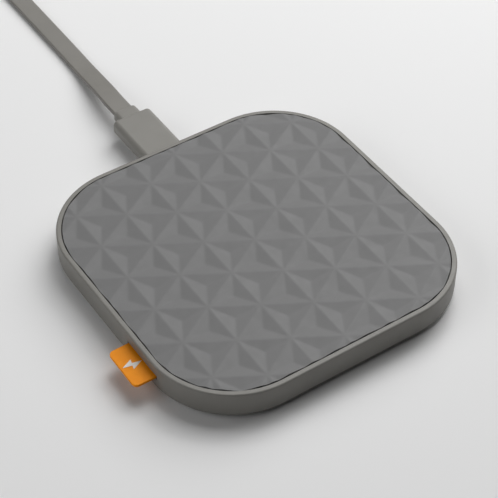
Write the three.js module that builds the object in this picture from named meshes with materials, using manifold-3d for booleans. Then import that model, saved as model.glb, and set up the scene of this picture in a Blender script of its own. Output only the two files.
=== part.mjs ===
// Wireless charging pad with its flat USB lead. Millimetres, +Z up, +Y to the rear, where the lead
// plugs in. Origin: the middle of the non-slip sheet's underside, which is the face it rests on.

import * as THREE from 'three';
import { mergeVertices } from 'three/addons/utils/BufferGeometryUtils.js';
import Module from 'manifold-3d';

const wasm = await Module();
wasm.setup();

// --- Driving dimensions -------------------------------------------------------------------------

const PAD_HALF = 45;                // half of the pad's width and depth
const PAD_CORNER = 24;              // corner radius seen from above
const FIT = 0.3;                    // clearance between neighbouring pieces
const STACK = 0.1;                  // clearance between faces stacked on each other
const ARC_STEPS = 9;                // straight steps in each quarter turn of a pad corner

// Heights above the resting surface
const SHELL_LOW = 0.6;
const SHELL_HIGH = 9.0;
const DECK_LOW = 6.9;               // underside of the deck that carries the top mat
const DECK_HIGH = 7.9;
const BASE_HIGH = 2.0;
const SOCKET_MID = 4.65;            // middle of the USB socket and of the plug in it

// Housing and base
const TOP_ROUND = 0.5;
const LOW_ROUND = 1.5;
const WALL = 2.0;
const MAT_RECESS_WALL = 1.55;       // width of the rim around the mat
const CAVITY_HALF = PAD_HALF - WALL;
const CAVITY_CORNER = PAD_CORNER - WALL;
const SHEET_HALF = 38;
const SHEET_CORNER = 19;
const SHEET_POCKET_HIGH = 1.0;

// Faceted mat
const MAT_GAP = 0.15;
const MAT_HALF = PAD_HALF - MAT_RECESS_WALL - MAT_GAP;
const MAT_CORNER = PAD_CORNER - MAT_RECESS_WALL - MAT_GAP;
const MAT_HIGH = 9.2;
const CELL = 13.5;                  // side of the equilateral triangles
const DIMPLE = 0.6;                 // how far the middle of each triangle is sunk
const RIDGE_FLAT = 0.015;           // height taken off the ridges, which leaves them a narrow flat

// Screws
const SCREW_PLACE = 31;             // distance of the screws from the middle, along X and along Y
const SCREW_R = 1.0;
const SCREW_HEAD_R = 1.9;
const SCREW_HEAD_LOW = SHEET_POCKET_HIGH + 0.05;
const SCREW_HEAD_HIGH = 1.55;
const SCREW_TOP = 5.6;
const BOSS_R = 2.6;

// Charging coil stack
const COIL_IN_R = 10.5;
const COIL_OUT_R = 21.5;
const COIL_LOW = 5.5;
const COIL_HIGH = 6.6;
const FERRITE_R = 26;
const FERRITE_LOW = 4.6;
const FERRITE_HIGH = 5.4;

// Circuit board, along the rear of the pad
const BOARD_HALF = 27;
const BOARD_FRONT = 27.8;
const BOARD_REAR = 41.2;
const BOARD_LOW = 2.15;
const BOARD_HIGH = 2.85;

// USB-C socket and the plug that goes into it
const SOCKET_WIDTH = 9.25;
const SOCKET_HEIGHT = 3.4;
const SOCKET_WALL = 0.3;
const SOCKET_BACK = 37.2;
const SOCKET_MOUTH = 44.5;
const TONGUE_WIDTH = 6.6;
const TONGUE_THICK = 0.7;
const TONGUE_SHORT = 1.2;           // how far the tongue ends inside the socket's mouth
const PLUG_TIP = 39.1;
const PLUG_END = 45.1;
const PLUG_WIDTH = 8.25;
const PLUG_HEIGHT = 2.4;
const PLUG_WALL = 0.25;
const GRIP_WIDTH = 12.4;
const GRIP_HEIGHT = 4.7;
const GRIP_FRONT = 45.4;
const GRIP_REAR = 64.5;
const BOOT_REAR = 68.6;

// Flat cord. Its far part is folded in two and wound up from the fold, so both ends leave the outside.
const CORD_WIDTH = 6;
const CORD_THICK = 1.6;
const CORD_SIDE = 2.35;             // X of the stretch that lies on the surface
const TURN_PITCH = 4.6;             // two thicknesses of cord side by side, for each turn
const TURN_IN_R = 26;
const NEAR_TURNS = 1.85;            // turns of the half that comes from the pad
const FAR_TURNS = NEAR_TURNS + 0.25;
const NEAR_R = TURN_IN_R + TURN_PITCH * NEAR_TURNS;
const FAR_R = TURN_IN_R + TURN_PITCH * FAR_TURNS;
const INNER_ANGLE = Math.PI * (1 - 2 * NEAR_TURNS);
const COIL_MID_X = CORD_SIDE + NEAR_R;
const COIL_MID_Y = 178;
const COIL_WALL = CORD_THICK / 2 + 0.2;
const CLEAR_OF_COIL = 19;           // how far from a turn's tangent point the loose cord's solid ends
const TAIL_LENGTH = 45;
const TIE_WIDTH = 8;
const TIE_THICK = 0.6;

// USB-A plug at the far end
const FAR_PLUG_MID = 3.9;
const FAR_GRIP_WIDTH = 15.6;
const FAR_GRIP_HEIGHT = 7.6;
const FAR_GRIP_LENGTH = 22;
const FAR_SHELL_WIDTH = 12;
const FAR_SHELL_HEIGHT = 4.5;
const FAR_SHELL_LENGTH = 18.8;
const FAR_BOOT_LENGTH = 4;

// Tag on the left wall
const TAG_OUT = 51;                 // how far its outer edge is from the middle
const TAG_IN = 42;
const TAG_MID_X = -(TAG_OUT + TAG_IN) / 2;
const TAG_MID_Y = -16.65;
const TAG_WIDTH = 13.3;
const TAG_LOW = 4.9;
const TAG_HIGH = 5.7;
const TAG_CORNER = 1.4;

// --- Finishes -----------------------------------------------------------------------------------

const FINISHES = {
  housing: { color: 0x98968e, roughness: 0.55, metalness: 0 },
  mat: { color: 0x8a8a8a, roughness: 0.6, metalness: 0 },
  base: { color: 0x7d7b74, roughness: 0.6, metalness: 0 },
  silicone: { color: 0x4a4a48, roughness: 0.85, metalness: 0 },
  tag: { color: 0xf08a1c, roughness: 0.6, metalness: 0 },
  cord: { color: 0x98958d, roughness: 0.6, metalness: 0 },
  steel: { color: 0xc4c6c8, roughness: 0.3, metalness: 1 },
  copper: { color: 0xb86a3c, roughness: 0.4, metalness: 1 },
  ferrite: { color: 0x3a3a3c, roughness: 0.7, metalness: 0 },
  board: { color: 0x1f5a34, roughness: 0.5, metalness: 0 },
  chip: { color: 0x222224, roughness: 0.5, metalness: 0 },
  capacitor: { color: 0xb59a72, roughness: 0.5, metalness: 0 },
  insulator: { color: 0x1c1c1e, roughness: 0.5, metalness: 0 },
  foam: { color: 0x2c2c2e, roughness: 0.95, metalness: 0 },
};

const pad = new THREE.Group();

function add(name, geometry, finish) {
  const mesh = new THREE.Mesh(geometry, new THREE.MeshStandardMaterial(FINISHES[finish]));
  mesh.name = name;
  pad.add(mesh);
  return mesh;
}

// --- Shape helpers ------------------------------------------------------------------------------

// Turns a closed three.js geometry into a solid that can be cut and joined.
function solid(geometry) {
  const plain = geometry.index ? geometry.toNonIndexed() : geometry.clone();
  plain.deleteAttribute('normal');
  plain.deleteAttribute('uv');
  const merged = mergeVertices(plain, 1e-4);
  const vertProperties = new Float32Array(merged.attributes.position.array);
  const triVerts = new Uint32Array(merged.index.array);
  return new wasm.Manifold(new wasm.Mesh({ numProp: 3, vertProperties, triVerts }));
}

function geometryOf(body) {
  const mesh = body.getMesh();
  const geometry = new THREE.BufferGeometry();
  geometry.setAttribute('position', new THREE.BufferAttribute(new Float32Array(mesh.vertProperties), 3));
  geometry.setIndex(new THREE.BufferAttribute(new Uint32Array(mesh.triVerts), 1));
  return geometry;
}

// A rectangle with round corners, centred on the origin.
function roundedShape(width, height, corner) {
  const x = width / 2 - corner;
  const y = height / 2 - corner;
  const shape = new THREE.Shape();
  shape.absarc(x, y, corner, 0, Math.PI / 2);
  shape.absarc(-x, y, corner, Math.PI / 2, Math.PI);
  shape.absarc(-x, -y, corner, Math.PI, 1.5 * Math.PI);
  shape.absarc(x, -y, corner, 1.5 * Math.PI, 2 * Math.PI);
  return shape;
}

// A plate whose outline is a rounded square, between two heights.
function plate(half, corner, low, high) {
  const shape = roundedShape(2 * half, 2 * half, corner);
  const geometry = new THREE.ExtrudeGeometry(shape, {
    depth: high - low, bevelEnabled: false, curveSegments: ARC_STEPS,
  });
  return geometry.translate(0, 0, low);
}

// The same plate with its upper and lower edges rounded.
function softPlate(half, corner, low, high, round) {
  const shape = roundedShape(2 * half, 2 * half, corner);
  const geometry = new THREE.ExtrudeGeometry(shape, {
    depth: high - low - 2 * round,
    bevelThickness: round,
    bevelSize: round,
    bevelOffset: -round,
    bevelSegments: 3,
    curveSegments: ARC_STEPS,
  });
  return geometry.translate(0, 0, low + round);
}

// A bar along +Y with a rounded section, from one Y to another, at a height.
function barAlongY(width, height, corner, front, rear, middle, round = 0, steps = 4) {
  const shape = roundedShape(width, height, corner);
  const geometry = new THREE.ExtrudeGeometry(shape, {
    depth: rear - front - 2 * round,
    bevelEnabled: round > 0,
    bevelThickness: round,
    bevelSize: round,
    bevelOffset: -round,
    bevelSegments: 2,
    curveSegments: steps,
  });
  return geometry.rotateX(-Math.PI / 2).translate(0, front + round, middle);
}

function box(width, depth, low, high, x = 0, y = 0) {
  return new THREE.BoxGeometry(width, depth, high - low).translate(x, y, (low + high) / 2);
}

function post(radius, low, high, x, y, sides = 20) {
  const geometry = new THREE.CylinderGeometry(radius, radius, high - low, sides);
  return geometry.rotateX(Math.PI / 2).translate(x, y, (low + high) / 2);
}

// A flat ring or disc about the Z axis.
function ring(inner, outer, low, high, sides = 40) {
  const profile = [
    new THREE.Vector2(inner, low),
    new THREE.Vector2(outer, low),
    new THREE.Vector2(outer, high),
    new THREE.Vector2(inner, high),
    new THREE.Vector2(inner, low),
  ];
  return new THREE.LatheGeometry(profile, sides).rotateX(Math.PI / 2);
}

const CORNERS = [[1, 1], [-1, 1], [-1, -1], [1, -1]];

// --- Pad ----------------------------------------------------------------------------------------

// Side wall, rim and deck in one moulding, open below, with four screw bosses, the socket's opening
// in the rear wall and the tag's slot in the left wall.
function rimHousing() {
  const roundTop = solid(softPlate(PAD_HALF, PAD_CORNER, -3, SHELL_HIGH, TOP_ROUND));
  const roundLow = solid(softPlate(PAD_HALF, PAD_CORNER, SHELL_LOW, 14, LOW_ROUND));
  const recessHalf = PAD_HALF - MAT_RECESS_WALL;
  let body = roundTop.intersect(roundLow);
  body = body.subtract(solid(plate(recessHalf, PAD_CORNER - MAT_RECESS_WALL, DECK_HIGH, 12)));
  body = body.subtract(solid(plate(CAVITY_HALF, CAVITY_CORNER, -1, DECK_LOW)));
  for (const [sx, sy] of CORNERS) {
    const x = sx * SCREW_PLACE;
    const y = sy * SCREW_PLACE;
    body = body.add(solid(post(BOSS_R, BASE_HIGH + FIT, DECK_LOW + 0.2, x, y)));
    body = body.subtract(solid(post(SCREW_R + FIT, 1, SCREW_TOP + FIT, x, y)));
  }
  const wide = SOCKET_WIDTH + 2 * FIT;
  const high = SOCKET_HEIGHT + 2 * FIT;
  const opening = barAlongY(wide, high, SOCKET_HEIGHT / 2, CAVITY_HALF - 1, PAD_HALF + 2, SOCKET_MID);
  body = body.subtract(solid(opening));
  const slotWidth = TAG_WIDTH + 2 * FIT;
  const slot = box(TAG_OUT - TAG_IN, slotWidth, TAG_LOW - FIT, TAG_HIGH + FIT, TAG_MID_X, TAG_MID_Y);
  return geometryOf(body.subtract(solid(slot)));
}

// Floor plate, set into the housing from below, with a pocket for the non-slip sheet.
function baseCover() {
  let body = solid(plate(CAVITY_HALF - FIT, CAVITY_CORNER - FIT, SHELL_LOW, BASE_HIGH));
  body = body.subtract(solid(plate(SHEET_HALF + FIT, SHEET_CORNER + FIT, 0, SHEET_POCKET_HIGH)));
  for (const [sx, sy] of CORNERS) {
    const x = sx * SCREW_PLACE;
    const y = sy * SCREW_PLACE;
    body = body.subtract(solid(post(SCREW_R + FIT, 0, 3, x, y)));
    body = body.subtract(solid(post(SCREW_HEAD_R + FIT, 0, SCREW_HEAD_HIGH + 0.05, x, y)));
  }
  return geometryOf(body);
}

// Top mat. Each triangle of the lattice is a shallow three-sided dimple, sunk in its middle. One set of
// ridges runs along Y, and a corner of the lattice is at the pad's centre.
function topMat() {
  const column = CELL * Math.sqrt(3) / 2;
  const reach = Math.ceil(MAT_HALF / column) + 1;
  const cuts = [];
  for (let i = -reach; i <= reach; i += 1) {
    for (let j = -2 * reach; j <= 2 * reach; j += 1) {
      const y = (j + i / 2 + 0.5) * CELL;
      if (Math.abs(y) > MAT_HALF + CELL) continue;
      for (const side of [1, -1]) {
        cuts.push(solid(dimple(side, i * column + side * CELL / (2 * Math.sqrt(3)), y)));
      }
    }
  }
  const body = solid(plate(MAT_HALF, MAT_CORNER, DECK_HIGH + STACK, MAT_HIGH));
  return geometryOf(body.subtract(wasm.Manifold.union(cuts)));
}

// The space above one triangle, a three-sided cone on its tip. It points along +X or -X.
function dimple(side, x, y) {
  const stretch = 3;
  const depth = DIMPLE * stretch;
  const geometry = new THREE.ConeGeometry(CELL / Math.sqrt(3) * stretch, depth, 3);
  geometry.rotateX(-Math.PI / 2).rotateZ(-side * Math.PI / 2);
  return geometry.translate(x, y, MAT_HIGH + RIDGE_FLAT - DIMPLE + depth / 2);
}

function screw() {
  const profile = [
    new THREE.Vector2(0, SCREW_HEAD_LOW),
    new THREE.Vector2(SCREW_HEAD_R, SCREW_HEAD_LOW),
    new THREE.Vector2(SCREW_HEAD_R, SCREW_HEAD_HIGH),
    new THREE.Vector2(SCREW_R, SCREW_HEAD_HIGH),
    new THREE.Vector2(SCREW_R, SCREW_TOP - SCREW_R),
    new THREE.Vector2(0, SCREW_TOP),
  ];
  return new THREE.LatheGeometry(profile, 20).rotateX(Math.PI / 2);
}

// Woven label, glued into the slot in the left wall. Its outer corners are round.
function tag() {
  const shape = roundedShape(TAG_OUT - TAG_IN, TAG_WIDTH, TAG_CORNER);
  const geometry = new THREE.ExtrudeGeometry(shape, {
    depth: TAG_HIGH - TAG_LOW, bevelEnabled: false, curveSegments: 4,
  });
  return geometry.translate(TAG_MID_X, TAG_MID_Y, TAG_LOW);
}

// --- Inside the pad -----------------------------------------------------------------------------

// One of the coil's two ends: off its outer edge, over the ferrite's rim and down to the board.
function coilLead(side) {
  const path = new THREE.CatmullRomCurve3([
    new THREE.Vector3(side * 3, COIL_OUT_R + 0.6, 6.1),
    new THREE.Vector3(side * 4, 24.5, 6.1),
    new THREE.Vector3(side * 6, 27, 5.9),
    new THREE.Vector3(side * 8, 28.8, 4.6),
    new THREE.Vector3(side * 9, 29.6, 3.4),
  ]);
  const section = new THREE.Shape();
  section.absarc(0, 0, 0.4, 0, 2 * Math.PI);
  return new THREE.ExtrudeGeometry(section, {
    steps: 12, curveSegments: 4, bevelEnabled: false, extrudePath: path,
  });
}

function socketShell() {
  const outer = barAlongY(
    SOCKET_WIDTH, SOCKET_HEIGHT, SOCKET_HEIGHT / 2 - 0.01, SOCKET_BACK, SOCKET_MOUTH, SOCKET_MID,
  );
  const width = SOCKET_WIDTH - 2 * SOCKET_WALL;
  const height = SOCKET_HEIGHT - 2 * SOCKET_WALL;
  const corner = height / 2 - 0.01;
  const inner = barAlongY(width, height, corner, SOCKET_BACK - 1, SOCKET_MOUTH + 1, SOCKET_MID);
  return geometryOf(solid(outer).subtract(solid(inner)));
}

// The insulating block at the back of the socket and the contact tongue that stands out of it.
function socketTongue() {
  const width = SOCKET_WIDTH - 2 * SOCKET_WALL - 0.2;
  const height = SOCKET_HEIGHT - 2 * SOCKET_WALL - 0.2;
  const blockFront = SOCKET_BACK + 1.4;
  const block = barAlongY(width, height, height / 2 - 0.01, SOCKET_BACK + 0.1, blockFront, SOCKET_MID);
  const low = SOCKET_MID - TONGUE_THICK / 2;
  const length = SOCKET_MOUTH - TONGUE_SHORT - (blockFront - 0.5);
  const tongue = box(TONGUE_WIDTH, length, low, low + TONGUE_THICK, 0, blockFront - 0.5 + length / 2);
  return geometryOf(solid(block).add(solid(tongue)));
}

function circuitBoard() {
  const depth = BOARD_REAR - BOARD_FRONT;
  return box(2 * BOARD_HALF, depth, BOARD_LOW, BOARD_HIGH, 0, (BOARD_FRONT + BOARD_REAR) / 2);
}

// --- Lead ---------------------------------------------------------------------------------------

// A plug's metal shell: a flat tube, open at its tip.
function tubeShell(width, height, corner, front, rear, middle) {
  const outer = barAlongY(width, height, corner, front, rear, middle);
  const inner = barAlongY(
    width - 2 * PLUG_WALL, height - 2 * PLUG_WALL, corner - PLUG_WALL, front - 1, rear - PLUG_WALL, middle,
  );
  return solid(outer).subtract(solid(inner));
}

// The insulator in the small plug, with the slot that takes the socket's tongue.
function plugInsulator() {
  const height = PLUG_HEIGHT - 2 * PLUG_WALL - FIT;
  const width = PLUG_WIDTH - 2 * PLUG_WALL - FIT;
  const front = PLUG_TIP + FIT;
  const rear = PLUG_END - PLUG_WALL - STACK;
  const body = solid(barAlongY(width, height, height / 2 - 0.01, front, rear, SOCKET_MID));
  const slotEnd = SOCKET_MOUTH - TONGUE_SHORT + FIT;
  const slotLow = SOCKET_MID - TONGUE_THICK / 2 - 0.15;
  const slotHigh = SOCKET_MID + TONGUE_THICK / 2 + 0.15;
  const slot = box(TONGUE_WIDTH + FIT, 10, slotLow, slotHigh, 0, slotEnd - 5);
  return geometryOf(body.subtract(solid(slot)));
}

// A stretch of the flat cord along a route. first and second are the section's sizes along the two
// directions that the route's frame starts with.
function cordAlong(route, steps, first, second) {
  const path = new THREE.CatmullRomCurve3(route.map((p) => new THREE.Vector3(...p)));
  const x = first / 2;
  const y = second / 2;
  const cut = CORD_THICK * 0.3;
  const section = new THREE.Shape([
    new THREE.Vector2(x, y - cut),
    new THREE.Vector2(x - cut, y),
    new THREE.Vector2(cut - x, y),
    new THREE.Vector2(-x, y - cut),
    new THREE.Vector2(-x, cut - y),
    new THREE.Vector2(cut - x, -y),
    new THREE.Vector2(x - cut, -y),
    new THREE.Vector2(x, cut - y),
  ]);
  return new THREE.ExtrudeGeometry(section, { steps, bevelEnabled: false, extrudePath: path });
}

// From the plug's boot down to the surface and on to the coil, lying flat.
function cordRun() {
  const lying = CORD_THICK / 2;
  const route = [
    [0, BOOT_REAR + FIT, SOCKET_MID],
    [0, 74, SOCKET_MID],
    [0.5, 81, 4.0],
    [1.3, 89, 2.5],
    [2.0, 97, 1.15],
    [2.3, 106, lying],
    [CORD_SIDE, 118, lying],
    [CORD_SIDE, 130, lying],
    [CORD_SIDE, 142, lying],
    [CORD_SIDE, COIL_MID_Y - CLEAR_OF_COIL, lying],
  ];
  return cordAlong(route, 24, CORD_WIDTH, CORD_THICK);
}

// The outer shape of the coil's turns, which stand on edge, with room for the tie under them.
function cordCoil() {
  const turns = ring(TURN_IN_R - COIL_WALL, FAR_R + COIL_WALL, 0, CORD_WIDTH);
  const body = solid(turns.translate(COIL_MID_X, COIL_MID_Y, 0));
  const middle = COIL_MID_Y - (TURN_IN_R + FAR_R) / 2;
  const underTie = box(TIE_WIDTH + 2 * FIT, 30, -1, TIE_THICK + 2 * FIT, COIL_MID_X, middle);
  return geometryOf(body.subtract(solid(underTie)));
}

// The S in the middle of the coil, where the folded cord turns back: two half circles, on edge.
function cordMiddle() {
  const route = [];
  const radius = TURN_IN_R / 2;
  const steps = 8;
  const reach = 0.7;                // part of each half circle that is clear of the turns
  for (let n = -steps; n <= steps; n += 1) {
    const along = reach * n / steps;
    const side = n < 0 ? 1 : -1;
    const angle = INNER_ANGLE + Math.PI * (n < 0 ? -1 - along : along);
    route.push([
      COIL_MID_X + radius * (side * Math.cos(INNER_ANGLE) + Math.cos(angle)),
      COIL_MID_Y + radius * (side * Math.sin(INNER_ANGLE) + Math.sin(angle)),
      CORD_WIDTH / 2,
    ]);
  }
  return cordAlong(route, 28, CORD_WIDTH, CORD_THICK);
}

// From the coil's rear side to the far plug.
function cordTail() {
  const y = COIL_MID_Y + FAR_R;
  const route = [
    [COIL_MID_X - CLEAR_OF_COIL, y, 3.0],
    [COIL_MID_X - 28, y, 3.3],
    [COIL_MID_X - 37, y, 3.8],
    [COIL_MID_X - TAIL_LENGTH, y, FAR_PLUG_MID],
  ];
  return cordAlong(route, 8, CORD_WIDTH, CORD_THICK);
}

// A strap round the turns, on the side of the coil that is nearest to the pad.
function cordTie() {
  const low = 0.05;
  const high = CORD_WIDTH + FIT + TIE_THICK;
  const depth = FAR_R - TURN_IN_R + 2 * COIL_WALL + 1.3 + 2 * TIE_THICK;
  const shape = roundedShape(depth, high - low, 1.2);
  const inside = roundedShape(depth - 2 * TIE_THICK, high - low - 2 * TIE_THICK, 0.6);
  shape.holes.push(inside);
  const geometry = new THREE.ExtrudeGeometry(shape, {
    depth: TIE_WIDTH, bevelEnabled: false, curveSegments: 3,
  });
  geometry.rotateX(Math.PI / 2).rotateZ(Math.PI / 2);
  const y = COIL_MID_Y - (TURN_IN_R + FAR_R) / 2;
  return geometry.translate(COIL_MID_X - TIE_WIDTH / 2, y, (low + high) / 2);
}

// The far plug in its own frame: the cord comes in at the origin, and the tip points along -Y.
function farPlug() {
  const group = new THREE.Group();
  const gripRear = -FAR_BOOT_LENGTH - 2 * FIT;
  const gripFront = gripRear - FAR_GRIP_LENGTH;
  const shellRear = gripFront - FIT;
  const tip = shellRear - FAR_SHELL_LENGTH;
  const innerWidth = FAR_SHELL_WIDTH - 2 * PLUG_WALL - 2 * FIT;
  const innerHeight = FAR_SHELL_HEIGHT - 2 * PLUG_WALL - 2 * FIT;
  const blockRear = shellRear - PLUG_WALL - FIT;
  const block = box(innerWidth, 4, -innerHeight / 2, innerHeight / 2, 0, blockRear - 2);
  const tongueLength = blockRear - 3 - (tip + 0.8);
  const tongue = box(innerWidth, tongueLength, 0, innerHeight / 2, 0, tip + 0.8 + tongueLength / 2);
  const boot = barAlongY(9.6, 4.4, 1.6, -FAR_BOOT_LENGTH - FIT, -FIT, 0, 0.5);
  const grip = barAlongY(FAR_GRIP_WIDTH, FAR_GRIP_HEIGHT, 2, gripFront, gripRear, 0, 0.8);
  const shell = tubeShell(FAR_SHELL_WIDTH, FAR_SHELL_HEIGHT, 0.4, tip, shellRear, 0);
  group.add(
    add('far_plug_boot', boot, 'housing'),
    add('far_plug_grip', grip, 'housing'),
    add('far_plug_shell', geometryOf(shell), 'steel'),
    add('far_plug_insulator', geometryOf(solid(block).add(solid(tongue))), 'insulator'),
  );
  group.rotation.z = -Math.PI / 2;
  group.position.set(COIL_MID_X - TAIL_LENGTH, COIL_MID_Y + FAR_R, FAR_PLUG_MID);
  return group;
}

// --- Assembly -----------------------------------------------------------------------------------

add('rim_housing', rimHousing(), 'housing');
add('top_mat', topMat(), 'mat');
add('base_cover', baseCover(), 'base');
add('non_slip_sheet', plate(SHEET_HALF, SHEET_CORNER, 0, SHEET_POCKET_HIGH - STACK), 'silicone');
add('tag', tag(), 'tag');
CORNERS.forEach(([sx, sy], n) => {
  add(`screw_${n + 1}`, screw().translate(sx * SCREW_PLACE, sy * SCREW_PLACE, 0), 'steel');
});

add('adhesive_ring', ring(COIL_IN_R, COIL_OUT_R, COIL_HIGH + 0.05, DECK_LOW - 0.05), 'foam');
add('charging_coil', ring(COIL_IN_R, COIL_OUT_R, COIL_LOW, COIL_HIGH), 'copper');
add('ferrite_disc', post(FERRITE_R, FERRITE_LOW, FERRITE_HIGH, 0, 0, 48), 'ferrite');
add('foam_ring', ring(12, 22, BASE_HIGH + STACK, FERRITE_LOW - STACK), 'foam');
add('temperature_sensor', box(2.4, 1.2, FERRITE_HIGH + STACK, FERRITE_HIGH + 0.9), 'chip');
add('coil_lead_1', coilLead(-1), 'copper');
add('coil_lead_2', coilLead(1), 'copper');

add('circuit_board', circuitBoard(), 'board');
const onBoard = (name, width, depth, height, x, y, finish) => {
  add(name, box(width, depth, BOARD_HIGH + 0.05, BOARD_HIGH + 0.05 + height, x, y), finish);
};
onBoard('controller_chip', 6, 6, 0.9, -13.5, 34.5, 'chip');
onBoard('power_inductor', 5, 5, 2.4, 22, 34.5, 'chip');
for (let n = 0; n < 2; n += 1) {
  onBoard(`power_switch_${n + 1}`, 3.3, 3.3, 0.9, 14.5, 32 + 5 * n, 'chip');
  onBoard(`input_capacitor_${n + 1}`, 1.6, 3.2, 1.6, n ? 7.5 : -7.5, 37, 'capacitor');
}
for (let n = 0; n < 4; n += 1) {
  onBoard(`resonant_capacitor_${n + 1}`, 3.2, 2.5, 1.8, -23, 29.6 + 3.1 * n, 'capacitor');
}
add('usb_socket_shell', socketShell(), 'steel');
add('usb_socket_tongue', socketTongue(), 'insulator');

const plugRound = PLUG_HEIGHT / 2 - 0.01;
const plugShell = tubeShell(PLUG_WIDTH, PLUG_HEIGHT, plugRound, PLUG_TIP, PLUG_END, SOCKET_MID);
add('plug_shell', geometryOf(plugShell), 'steel');
add('plug_insulator', plugInsulator(), 'insulator');
const grip = barAlongY(GRIP_WIDTH, GRIP_HEIGHT, 1.7, GRIP_FRONT, GRIP_REAR, SOCKET_MID, 0.6);
add('plug_grip', grip, 'housing');
add('plug_boot', barAlongY(7.4, 3.6, 1.5, GRIP_REAR + FIT, BOOT_REAR, SOCKET_MID, 0.5), 'housing');
add('cord_run', cordRun(), 'cord');
add('cord_coil', cordCoil(), 'cord');
add('cord_middle', cordMiddle(), 'cord');
add('cord_tail', cordTail(), 'cord');
add('cord_tie', cordTie(), 'silicone');
pad.add(farPlug());

export default pad;
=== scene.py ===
"""Wireless charging pad with a faceted top, a woven tag and a flat USB lead that unplugs at the rear.

Metres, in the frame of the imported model: +Z up, +Y to the rear, the origin under the pad's middle.
"""

import math

import bmesh
import bpy
from mathutils import Matrix, Vector


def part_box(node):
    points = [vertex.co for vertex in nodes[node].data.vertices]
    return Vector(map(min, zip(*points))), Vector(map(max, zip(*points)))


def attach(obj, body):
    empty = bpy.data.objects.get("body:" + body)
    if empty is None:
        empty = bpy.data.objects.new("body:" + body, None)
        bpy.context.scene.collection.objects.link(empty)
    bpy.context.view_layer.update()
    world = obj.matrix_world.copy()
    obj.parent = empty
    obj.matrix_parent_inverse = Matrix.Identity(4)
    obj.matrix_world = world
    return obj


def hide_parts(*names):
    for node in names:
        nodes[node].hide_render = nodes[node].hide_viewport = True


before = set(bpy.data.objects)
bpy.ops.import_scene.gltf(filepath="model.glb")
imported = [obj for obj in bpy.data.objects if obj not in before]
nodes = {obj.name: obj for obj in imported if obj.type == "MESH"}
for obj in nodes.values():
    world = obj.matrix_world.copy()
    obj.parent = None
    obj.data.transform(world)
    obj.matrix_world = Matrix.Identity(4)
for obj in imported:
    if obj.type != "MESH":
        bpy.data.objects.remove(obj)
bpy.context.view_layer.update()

MM = 0.001
SQRT3 = math.sqrt(3)
scene = bpy.context.scene

# --- Camera ---------------------------------------------------------------------------------------

CAMERA_AIM = Vector((-0.67, 1.7, 4.6)) * MM
CAMERA_DISTANCE = 426.2 * MM
CAMERA_AZIMUTH = 236.2
CAMERA_ELEVATION = 45.38
CAMERA_ROLL = 0.2


def direction(azimuth, elevation):
    """The unit vector at these angles in degrees. Azimuth 0 is +X and 90 is +Y."""
    a = math.radians(azimuth)
    e = math.radians(elevation)
    return Vector((math.cos(a) * math.cos(e), math.sin(a) * math.cos(e), math.sin(e)))


def add_camera():
    data = bpy.data.cameras.new("camera")
    data.lens = 115.2
    data.sensor_width = 36
    data.clip_start = 10 * MM
    camera = bpy.data.objects.new("camera", data)
    scene.collection.objects.link(camera)
    away = direction(CAMERA_AZIMUTH, CAMERA_ELEVATION)
    facing = away.to_track_quat("Z", "Y").to_matrix()
    roll = Matrix.Rotation(math.radians(CAMERA_ROLL), 3, "Z")
    place = Matrix.Translation(CAMERA_AIM + CAMERA_DISTANCE * away)
    camera.matrix_world = place @ (facing @ roll).to_4x4()
    scene.camera = camera


add_camera()

# --- Node trees -----------------------------------------------------------------------------------


def add_node(tree, kind, inputs=None, **settings):
    """A node of a tree. An input is a value, or another node's output to link to it."""
    made = tree.nodes.new(kind)
    for key, value in settings.items():
        setattr(made, key, value)
    for key, value in (inputs or {}).items():
        if isinstance(value, bpy.types.NodeSocket):
            tree.links.new(value, made.inputs[key])
        else:
            made.inputs[key].default_value = value
    return made


def calc(tree, operation, *values):
    """The result of one Math node. The values are numbers or other nodes' outputs."""
    return add_node(tree, "ShaderNodeMath", dict(enumerate(values)), operation=operation).outputs[0]


def shape_tree(name, sockets):
    """A Geometry Nodes tree with a Geometry output and the named inputs, and its group input node."""
    tree = bpy.data.node_groups.new(name, "GeometryNodeTree")
    tree.interface.new_socket("Geometry", in_out="OUTPUT", socket_type="NodeSocketGeometry")
    for label, kind in sockets.items():
        tree.interface.new_socket(label, in_out="INPUT", socket_type=kind)
    return tree, tree.nodes.new("NodeGroupInput")


def end_tree(tree, source, shape):
    """Ends a tree as every tree here ends: real geometry, with the material of its input."""
    real = add_node(tree, "GeometryNodeRealizeInstances", {0: shape})
    dressed = add_node(tree, "GeometryNodeSetMaterial", {
        0: real.outputs[0], "Material": source.outputs["Material"],
    })
    output = tree.nodes.new("NodeGroupOutput")
    tree.links.new(dressed.outputs[0], output.inputs[0])


def grown(name, tree, values):
    """The piece that a tree makes from these input values, as a plain mesh."""
    piece = link(name, bpy.data.meshes.new(name))
    modifier = piece.modifiers.new(name, "NODES")
    modifier.node_group = tree
    inputs = [item for item in tree.interface.items_tree if item.in_out == "INPUT"]
    sockets = {item.name: item.identifier for item in inputs}
    for label, value in values.items():
        modifier[sockets[label]] = value
    bake(piece)
    return piece


# --- Finishes -------------------------------------------------------------------------------------


# Scales of the noise, in specks per metre
PATCHES = 160
GLOSS_SPOTS = 420
DRAWN_LINES = 900
DYE_SPOTS = 500
TRACKS = 180
BARE_PADS = 420

# The scale of a wave texture whose bands are a metre apart
ONE_BAND = math.pi / 10


def new_finish(name):
    """A new material, its node tree and its shader."""
    material = bpy.data.materials.new(name)
    material.use_nodes = True
    tree = material.node_tree
    return material, tree, tree.nodes["Principled BSDF"]


def speckle(tree, scale, detail=4.0, stretch=(1, 1, 1)):
    """Noise on the object's own coordinates, in specks per metre."""
    place = tree.nodes.new("ShaderNodeTexCoord").outputs["Object"]
    place = add_node(tree, "ShaderNodeMapping", {"Vector": place, "Scale": stretch}).outputs[0]
    noise = add_node(tree, "ShaderNodeTexNoise", {"Vector": place, "Scale": scale, "Detail": detail})
    return noise.outputs["Fac"]


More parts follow.
